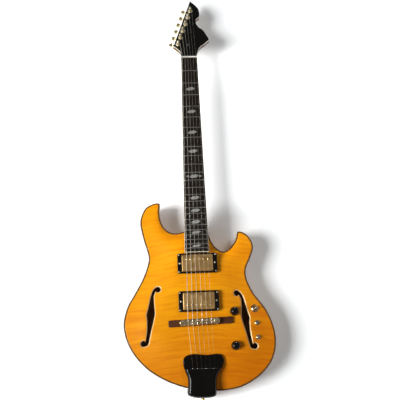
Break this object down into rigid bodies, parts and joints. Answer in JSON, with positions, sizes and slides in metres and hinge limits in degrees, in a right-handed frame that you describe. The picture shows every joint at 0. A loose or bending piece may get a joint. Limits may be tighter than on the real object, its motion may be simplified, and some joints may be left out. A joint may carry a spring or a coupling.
{
  "type": "thin-bodied electric guitar",
  "caption": "Thin semi-hollow electric guitar with an arched flamed top, f-holes, angled headstock, adjustable bridge and a carved black tailpiece.",
  "frame": {"origin": "on the centre line at the nut, on the plane where the neck meets the fingerboard", "axes": "+Z along the strings towards the headstock, +X to the treble side, +Y out of the back"},
  "size_m": [0.339, 0.0718, 1.0103],
  "materials": {
    "amber_maple": "gloss lacquer over flamed maple",
    "dark_strip": "dark veneer line",
    "red_mahogany": "gloss lacquer over mahogany",
    "neck_wood": "satin lacquer over mahogany",
    "ebony": "oiled ebony",
    "bone": "polished bone",
    "steel": "plain steel",
    "black_gloss": "black gloss lacquer",
    "gold": "gold plating",
    "black_plastic": "black moulded plastic",
    "aged_nickel": "aged nickel and gold plating",
    "rosewood": "waxed rosewood",
    "nickel": "nickel plating"
  },
  "bodies": {
    "root": {"body_top": "amber_maple", "body_edge_strip": "dark_strip", "body_back": "red_mahogany", "neck": "neck_wood", "fingerboard": "ebony", "nut": "bone", "truss_rod": "steel", "headstock_facing": "black_gloss", "tuner_1_housing": "gold", "tuner_2_housing": "gold", "tuner_3_housing": "gold", "tuner_4_housing": "gold", "tuner_5_housing": "gold", "tuner_6_housing": "gold", "neck_pickup_ring": "black_plastic", "bridge_pickup_ring": "black_plastic", "bridge_base": "rosewood", "tailpiece": "black_gloss", "tail_strap_button": "gold", "heel_strap_button": "gold", "output_jack": "nickel", "volume_pot": "steel", "tone_pot": "steel", "pickup_switch_body": "nickel", "mini_switch_1_body": "nickel", "mini_switch_2_body": "nickel", "string_1": "nickel", "string_2": "nickel", "string_3": "nickel", "string_4": "steel", "string_5": "steel", "string_6": "steel"},
    "post_1": {"tuner_1_post": "gold"},
    "button_1": {"tuner_1_button": "gold"},
    "post_2": {"tuner_2_post": "gold"},
    "button_2": {"tuner_2_button": "gold"},
    "post_3": {"tuner_3_post": "gold"},
    "button_3": {"tuner_3_button": "gold"},
    "post_4": {"tuner_4_post": "gold"},
    "button_4": {"tuner_4_button": "gold"},
    "post_5": {"tuner_5_post": "gold"},
    "button_5": {"tuner_5_button": "gold"},
    "post_6": {"tuner_6_post": "gold"},
    "button_6": {"tuner_6_button": "gold"},
    "neck_pickup": {"neck_pickup": "aged_nickel"},
    "bridge_pickup": {"bridge_pickup": "aged_nickel"},
    "bridge_bar": {"bridge_bar": "gold"},
    "bridge_stud_1": {"bridge_stud_1": "gold"},
    "bridge_stud_2": {"bridge_stud_2": "gold"},
    "saddle_1": {"saddle_1": "gold"},
    "saddle_2": {"saddle_2": "gold"},
    "saddle_3": {"saddle_3": "gold"},
    "saddle_4": {"saddle_4": "gold"},
    "saddle_5": {"saddle_5": "gold"},
    "saddle_6": {"saddle_6": "gold"},
    "volume_knob": {"volume_knob": "black_plastic"},
    "tone_knob": {"tone_knob": "black_plastic"},
    "pickup_switch_lever": {"pickup_switch_lever": "nickel"},
    "mini_switch_1_lever": {"mini_switch_1_lever": "nickel"},
    "mini_switch_2_lever": {"mini_switch_2_lever": "nickel"}
  },
  "joints": [
    {"name": "button_1_turn", "type": "hinge", "parent": "root", "child": "button_1", "pos_m": [-0.02397, 0.02722, 0.05032], "axis": [-0.9542, 0.0468, 0.2954], "continuous": true},
    {"name": "post_1_turn", "type": "hinge", "parent": "root", "child": "post_1", "pos_m": [-0.0263, 0.00699, 0.04599], "axis": [0, 0.9877, -0.1564], "continuous": true, "deforming": ["string_1"]},
    {"name": "button_2_turn", "type": "hinge", "parent": "root", "child": "button_2", "pos_m": [-0.017, 0.0307, 0.07228], "axis": [-0.9542, 0.0468, 0.2954], "continuous": true},
    {"name": "post_2_turn", "type": "hinge", "parent": "root", "child": "post_2", "pos_m": [-0.01933, 0.01047, 0.06795], "axis": [0, 0.9877, -0.1564], "continuous": true, "deforming": ["string_2"]},
    {"name": "button_3_turn", "type": "hinge", "parent": "root", "child": "button_3", "pos_m": [-0.01003, 0.03417, 0.09424], "axis": [-0.9542, 0.0468, 0.2954], "continuous": true},
    {"name": "post_3_turn", "type": "hinge", "parent": "root", "child": "post_3", "pos_m": [-0.01236, 0.01395, 0.08991], "axis": [0, 0.9877, -0.1564], "continuous": true, "deforming": ["string_3"]},
    {"name": "button_4_turn", "type": "hinge", "parent": "root", "child": "button_4", "pos_m": [-0.00307, 0.03765, 0.1162], "axis": [-0.9542, 0.0468, 0.2954], "continuous": true},
    {"name": "post_4_turn", "type": "hinge", "parent": "root", "child": "post_4", "pos_m": [-0.0054, 0.01743, 0.11187], "axis": [0, 0.9877, -0.1564], "continuous": true, "deforming": ["string_4"]},
    {"name": "button_5_turn", "type": "hinge", "parent": "root", "child": "button_5", "pos_m": [0.0039, 0.04113, 0.13816], "axis": [-0.9542, 0.0468, 0.2954], "continuous": true},
    {"name": "post_5_turn", "type": "hinge", "parent": "root", "child": "post_5", "pos_m": [0.00157, 0.0209, 0.13383], "axis": [0, 0.9877, -0.1564], "continuous": true, "deforming": ["string_5"]},
    {"name": "button_6_turn", "type": "hinge", "parent": "root", "child": "button_6", "pos_m": [0.01087, 0.04461, 0.16012], "axis": [-0.9542, 0.0468, 0.2954], "continuous": true},
    {"name": "post_6_turn", "type": "hinge", "parent": "root", "child": "post_6", "pos_m": [0.00854, 0.02438, 0.15579], "axis": [0, 0.9877, -0.1564], "continuous": true, "deforming": ["string_6"]},
    {"name": "neck_pickup_height", "type": "slide", "parent": "root", "child": "neck_pickup", "axis": [0, -1, 0], "range_m": [-0.003, 0.0015]},
    {"name": "bridge_pickup_height", "type": "slide", "parent": "root", "child": "bridge_pickup", "axis": [0, -1, 0], "range_m": [-0.003, 0.0015]},
    {"name": "bridge_height", "type": "slide", "parent": "root", "child": "bridge_bar", "axis": [0, -1, 0], "range_m": [-0.0015, 0.0025], "deforming": ["string_1", "string_2", "string_3", "string_4", "string_5", "string_6"]},
    {"name": "thumbwheel_1_turn", "type": "hinge", "parent": "bridge_bar", "child": "bridge_stud_1", "pos_m": [-0.03639, -0.002, -0.65146], "axis": [0, -1, 0], "range_deg": [-775, 1290]},
    {"name": "thumbwheel_2_turn", "type": "hinge", "parent": "bridge_bar", "child": "bridge_stud_2", "pos_m": [0.03759, -0.002, -0.64933], "axis": [0, -1, 0], "range_deg": [-775, 1290]},
    {"name": "saddle_1_slide", "type": "slide", "parent": "bridge_bar", "child": "saddle_1", "axis": [-0.0288, 0, 0.9996], "range_m": [-0.0015, 0.0033], "deforming": ["string_1"]},
    {"name": "saddle_2_slide", "type": "slide", "parent": "bridge_bar", "child": "saddle_2", "axis": [-0.0288, 0, 0.9996], "range_m": [-0.0025, 0.0023], "deforming": ["string_2"]},
    {"name": "saddle_3_slide", "type": "slide", "parent": "bridge_bar", "child": "saddle_3", "axis": [-0.0288, 0, 0.9996], "range_m": [-0.0033, 0.0015], "deforming": ["string_3"]},
    {"name": "saddle_4_slide", "type": "slide", "parent": "bridge_bar", "child": "saddle_4", "axis": [-0.0288, 0, 0.9996], "range_m": [-0.0017, 0.0031], "deforming": ["string_4"]},
    {"name": "saddle_5_slide", "type": "slide", "parent": "bridge_bar", "child": "saddle_5", "axis": [-0.0288, 0, 0.9996], "range_m": [-0.0024, 0.0024], "deforming": ["string_5"]},
    {"name": "saddle_6_slide", "type": "slide", "parent": "bridge_bar", "child": "saddle_6", "axis": [-0.0288, 0, 0.9996], "range_m": [-0.0032, 0.0016], "deforming": ["string_6"]},
    {"name": "volume_turn", "type": "hinge", "parent": "root", "child": "volume_knob", "pos_m": [0.0784, 0, -0.6296], "axis": [0, 1, 0], "range_deg": [-30, 270]},
    {"name": "tone_turn", "type": "hinge", "parent": "root", "child": "tone_knob", "pos_m": [0.0772, 0, -0.7035], "axis": [0, 1, 0], "range_deg": [-30, 270]},
    {"name": "pickup_switch_tilt", "type": "hinge", "parent": "root", "child": "pickup_switch_lever", "pos_m": [0.1254, 0.01332, -0.6246], "axis": [1, 0, 0], "range_deg": [-12, 12]},
    {"name": "mini_switch_1_tilt", "type": "hinge", "parent": "root", "child": "mini_switch_1_lever", "pos_m": [0.1283, 0.01134, -0.6562], "axis": [1, 0, 0], "range_deg": [-12, 12]},
    {"name": "mini_switch_2_tilt", "type": "hinge", "parent": "root", "child": "mini_switch_2_lever", "pos_m": [0.1283, 0.00981, -0.6876], "axis": [1, 0, 0], "range_deg": [-12, 12]}
  ],
  "couplings": [
    {"joint": "post_1_turn", "follows": "button_1_turn", "ratio": 0.066667},
    {"joint": "post_2_turn", "follows": "button_2_turn", "ratio": 0.066667},
    {"joint": "post_3_turn", "follows": "button_3_turn", "ratio": 0.066667},
    {"joint": "post_4_turn", "follows": "button_4_turn", "ratio": 0.066667},
    {"joint": "post_5_turn", "follows": "button_5_turn", "ratio": 0.066667},
    {"joint": "post_6_turn", "follows": "button_6_turn", "ratio": 0.066667},
    {"joint": "thumbwheel_1_turn", "follows": "bridge_height", "rad_per_m": 8976},
    {"joint": "thumbwheel_2_turn", "follows": "bridge_height", "rad_per_m": 8976}
  ]
}
